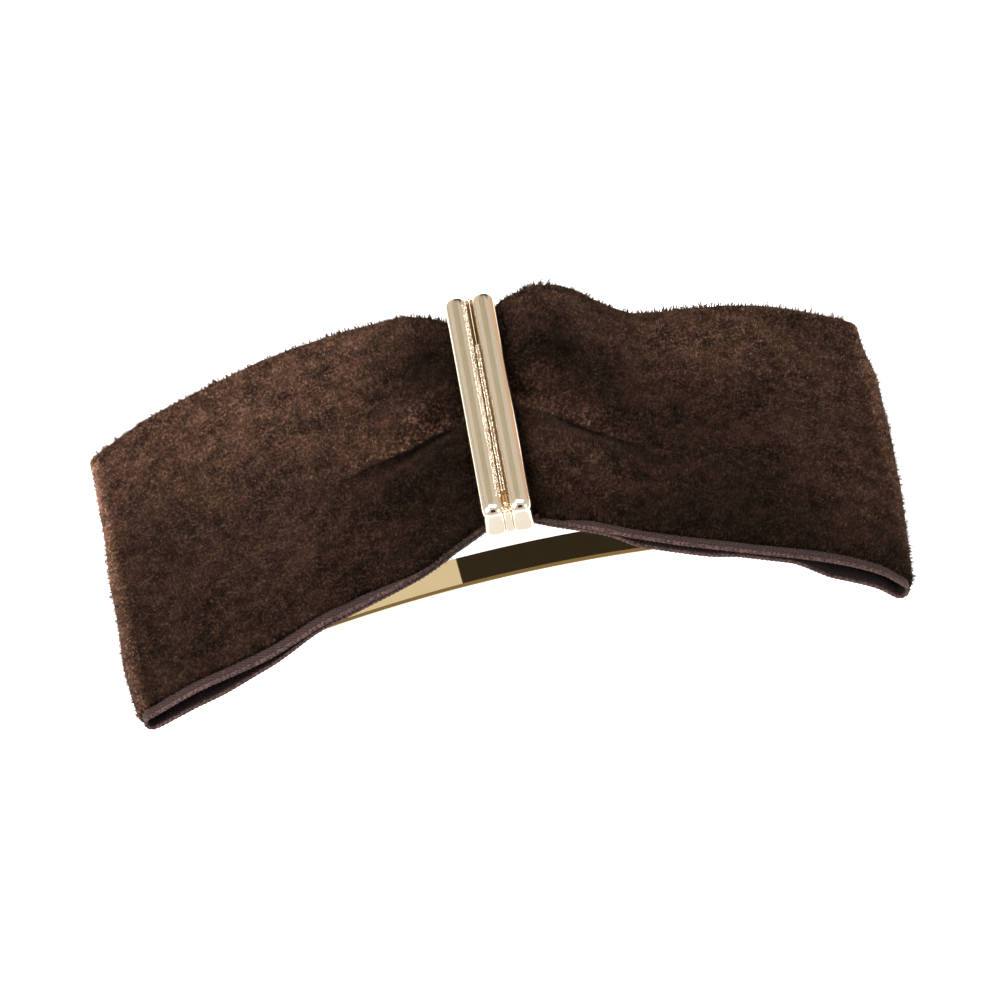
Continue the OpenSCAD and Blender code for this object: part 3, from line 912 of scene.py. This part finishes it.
def wire_rings():
    angle = np.linspace(0, math.tau, 20, endpoint=False)
    rings = []
    for end in (-1, 1):
        for b in np.linspace(0.08, 1, 6)[::end]:
            size = wire_r * math.sin(b * math.pi / 2)
            y = end * (wire_half - wire_r * (1 - math.cos(b * math.pi / 2 - math.pi / 2)))
            depth = wire_depth - size * np.sin(angle)
            rings.append(np.stack([size * np.cos(angle), np.full(20, y), depth], axis=1))
    return rings


wire_verts, wire_faces = lofted(wire_rings())
wire = joined("clasp_wire", [(from_face(wire_verts), wire_faces, champagne)])
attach(wire, "bow_and_base")
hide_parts("clasp_centre_wire")


def grains(name, places, seed):
    """Small round grains at (x, y, depth) places in mm, each a little off its place and size."""
    rng = np.random.default_rng(seed)
    ball = bmesh.new()
    bmesh.ops.create_icosphere(ball, subdivisions=2, radius=1)
    unit = np.array([v.co[:] for v in ball.verts])
    triangles = np.array([[v.index for v in f.verts] for f in ball.faces])
    ball.free()
    places = np.asarray(places) + rng.normal(0, 0.025, (len(places), 3))
    size = rng.uniform(0.07, 0.115, len(places))
    verts = places[:, None] + unit[None] * size[:, None, None]
    faces = (np.arange(len(places))[:, None, None] * len(unit) + triangles[None]).reshape(-1, 3)
    made = mesh_from(name, from_face(verts).reshape(-1, 3), faces[:, ::-1], granulated)
    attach(made, "bow_and_base")
    return made


on_wire = []
for y in np.arange(-17.0, 10.5, 0.2):
    for lean in (-0.5, 0.5):
        on_wire.append((wire_r * math.sin(lean), y + 0.08 * lean, wire_depth - wire_r * math.cos(lean)))
grains("wire_grains", on_wire, 21)
on_rib = []
for y in np.arange(-17.8, 18.2, 0.19):
    for k, degrees in enumerate((59, 49, 39)):
        c, s = math.cos(math.radians(degrees)), math.sin(math.radians(degrees))
        depth = rib_t - rib_t * s ** rib_power
        on_rib.append((-rib_x + rib_r * c ** rib_power, y + 0.09 * (k % 2), depth))
band = grains("rib_grains", on_rib, 22)
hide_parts("clasp_granule_band")


# ---------------------------------------------------------------- gather
# Behind the clasp the ribbon is pleated into a bunch, drawn in by three turns of two-ply
# thread, and its foot spreads on the felt.

felt_top = 10.8
neck_depth = 8.4
gather_across = [(4.9, 13.8), (5.8, 13.4), (neck_depth, 7.7), (9.3, 7.8), (felt_top, 8.3)]
gather_thick = [(4.9, 2.1), (6.5, 2.5), (neck_depth, 2.4), (9.3, 2.5), (felt_top, 2.7)]


def gather_rings():
    """Pleated outlines from the clasp's tabs down to the felt; (x, y, depth) in mm."""
    angle = np.linspace(0, math.tau, 420, endpoint=False)
    c, s = np.cos(angle), np.sin(angle)
    rings = []
    for depth in np.linspace(4.9, felt_top, 26):
        across = smooth_through(gather_across, depth)
        thick = smooth_through(gather_thick, depth)
        pleat = 0.55 * np.sin(26 * angle + 0.35 * depth) + 0.1 * np.sin(41 * angle + 1.3)
        pleat *= 1 if 4.9 < depth < felt_top else 0.6
        x = (thick + pleat) * np.sign(c) * np.abs(c) ** 0.6
        y = (across + pleat) * np.sign(s) * np.abs(s) ** 0.8
        rings.append(np.stack([x, y, np.full(420, depth)], axis=1))
    return rings


gather_verts, gather_faces = lofted(gather_rings()[::-1])
gather = joined("pleated_gather", [(from_face(gather_verts), gather_faces, weave)])
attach(gather, "bow_and_base")
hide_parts("ribbon_gather")

turns = np.linspace(0, 3 * math.tau, 540)
c, s = np.cos(turns), np.sin(turns)
winding = np.stack([
    3.05 * np.sign(c) * np.abs(c) ** 0.6, 7.95 * np.sign(s) * np.abs(s) ** 0.8,
    neck_depth - 0.35 + 0.42 * turns / math.tau,
], axis=1)


def thread_look():
    """Dark brown sewing cotton."""
    look = Look("brown_thread", roughness=0.65, sheen_weight=0.3)
    fine = look.noise(0.08 * mm, detail=2)
    look.feed("Base Color", look.mix(fine, srgb(38, 25, 20), srgb(88, 64, 52)))
    look.bump(fine, 0.02 * mm)
    return look.material


thread = thread_look()
bound = yarn("gather_winding", resampled(from_face(winding), 0.1 * mm), 0.2 * mm, thread, twist=9000)
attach(bound, "bow_and_base")
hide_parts("gathering_thread")


# ---------------------------------------------------------------- felt and stitches
# A die-cut pad of pressed wool felt lies between the bow and the plate, glued and held by
# two stitches through the plate's holes. The clip is turned a little under the bow.

clip_yaw = math.radians(3.7)
arch_r = 153.0
plate_z = 16.64
felt_low, felt_high = 0.7, 1.9


def on_clip(points):
    """(x, y, z) in mm in the clip's own frame, in metres in the model's."""
    c, s = math.cos(clip_yaw), math.sin(clip_yaw)
    x, y = points[..., 0], points[..., 1]
    return np.stack([x * c - y * s, x * s + y * c, points[..., 2]], axis=-1) * mm


def arch(x, height):
    return plate_z - arch_r + np.sqrt((arch_r + height) ** 2 - x * x)


def felt_look():
    """Pressed felt: matted fibres, no grain."""
    look = Look("felt", roughness=0.95, sheen_weight=0.4, sheen_roughness=0.5)
    matted = look.noise(0.5 * mm, detail=5, rough=0.75)
    broad = look.noise(3 * mm, detail=2)
    look.feed("Base Color", look.mix(matted * 0.7 + broad * 0.3, srgb(34, 24, 20), srgb(92, 70, 60)))
    look.bump(matted, 0.25 * mm)
    return look.material


felt_rings = []
felt_rng = np.random.default_rng(31)
for x in np.concatenate([[-9.98, -9.9, -9.7], np.linspace(-9.4, 9.4, 76), [9.7, 9.9, 9.98]]):
    inset = max(0.0, abs(x) - 9.5)
    wide, thick = rounded_section(3.5 - inset, (felt_high - felt_low) / 2 - inset * 0.6, 0.35, 64)
    lump = 1 + felt_rng.uniform(-0.012, 0.008, 64)
    z = arch(x, 0) + (felt_low + felt_high) / 2 + thick * np.minimum(lump, 1)
    felt_rings.append(np.stack([np.full(64, x), wide * lump, z], axis=1))
felt_verts, felt_faces = lofted(felt_rings)
felt = joined("felt_pad", [(on_clip(felt_verts), felt_faces, felt_look())])
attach(felt, "bow_and_base")
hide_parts("backing_felt")

stitches = []
for x in (-7, 7):
    over, under = arch(x, 0) + felt_high + 0.2, arch(x, 0) - 0.62
    loop_y = np.array([-1.9, -1.9, -1.6, 0, 1.6, 1.9, 1.9, 1.9, 1.6, 0, -1.6, -1.9, -1.9])
    loop_z = np.array([0.5, 0.93, 1, 1, 1, 0.93, 0.5, 0.07, 0, 0, 0, 0.07, 0.5]) * (over - under) + under
    line = on_clip(np.stack([np.full(13, float(x)), loop_y, loop_z], axis=1))
    stitches.append(yarn(f"stitch_{'left' if x < 0 else 'right'}", resampled(line, 0.12 * mm)[:-1], 0.2 * mm,
                         thread, twist=9000, closed=True))
for stitch in stitches:
    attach(stitch, "bow_and_base")
    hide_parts("sewing_thread")


# ---------------------------------------------------------------- clip
# A stock sprung clip: arched plate and locking arm pressed from steel strip and plated yellow
# gold; pin, rivets, tension bar, catch and its two release ears left in bright spring steel.


arm_mid_z = 5.54


def strip_look(name):
    """Mirror-polished plated strip.

    Its upper face is rolled with a slight tilt across; its cut edges are dark brown near the top, pale below.
    """
    look = Look(name, metallic=1.0)
    x, _, z = look.split(look.place())
    normal = look.node("ShaderNodeTexCoord", out="Normal")
    up = look.split(normal)[2].step(0.6, 0.9)
    height = z - (arm_mid_z * mm - x * x * (1 / (2 * arch_r * mm)))
    cut = look.mix(height.step(-0.2 * mm, -0.08 * mm), (0.85, 0.8, 0.68), (0.16, 0.10, 0.035))
    tone = look.mix(look.noise(3 * mm, detail=3), (0.68, 0.50, 0.25), (0.74, 0.56, 0.30))
    scratch = look.noise(0.3 * mm, detail=3, stretch=(0.1, 1, 1)).step(0.7, 0.8)
    look.feed("Base Color", look.mix(up, cut, look.mix(scratch * 0.3, tone, (0.9, 0.78, 0.55))))
    look.feed("Roughness", look.noise(0.8 * mm, detail=4) * 0.012 + 0.008)
    tilt = look.node("ShaderNodeVectorMath", {"operation": "SCALE"}, {0: (0.0, 0.14, 0.0), "Scale": up})
    tilted = look.node("ShaderNodeVectorMath", {"operation": "ADD"}, {0: normal, 1: tilt})
    world_normal = look.node("ShaderNodeVectorTransform", {
        "vector_type": "NORMAL", "convert_from": "OBJECT", "convert_to": "WORLD",
    }, {0: tilted})
    look.put(look.shader.inputs["Normal"], world_normal)
    return look.material


def glue_look():
    """Set contact glue: amber, glossy, with small bubbles."""
    look = Look("glue", roughness=0.18, coat_weight=0.5)
    bubbles = look.noise(0.4 * mm, detail=2).step(0.5, 0.75)
    look.feed("Base Color", look.mix(bubbles, (0.36, 0.27, 0.13), (0.55, 0.46, 0.28)))
    look.bump(bubbles, 0.05 * mm)
    return look.material


def dress(node, material):
    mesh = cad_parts[node].data
    mesh.materials.clear()
    mesh.materials.append(material)


arm_gold = strip_look("arm_gold")
plate_gold = gold_look("plate_gold", (0.60, 0.45, 0.22), (0.70, 0.54, 0.30), 0.12, 0.003).material
steel = gold_look("spring_steel", (0.46, 0.45, 0.43), (0.58, 0.57, 0.54), 0.22, 0.003).material
dress("locking_arm", arm_gold)
dress("base_plate", plate_gold)
for node in ("hinge_pin", "tension_bar", "tension_bar_rivet", "catch_bracket", "catch_rivet",
             "release_ear_front", "release_ear_rear"):
    dress(node, steel)
dress("glue_pad", glue_look())
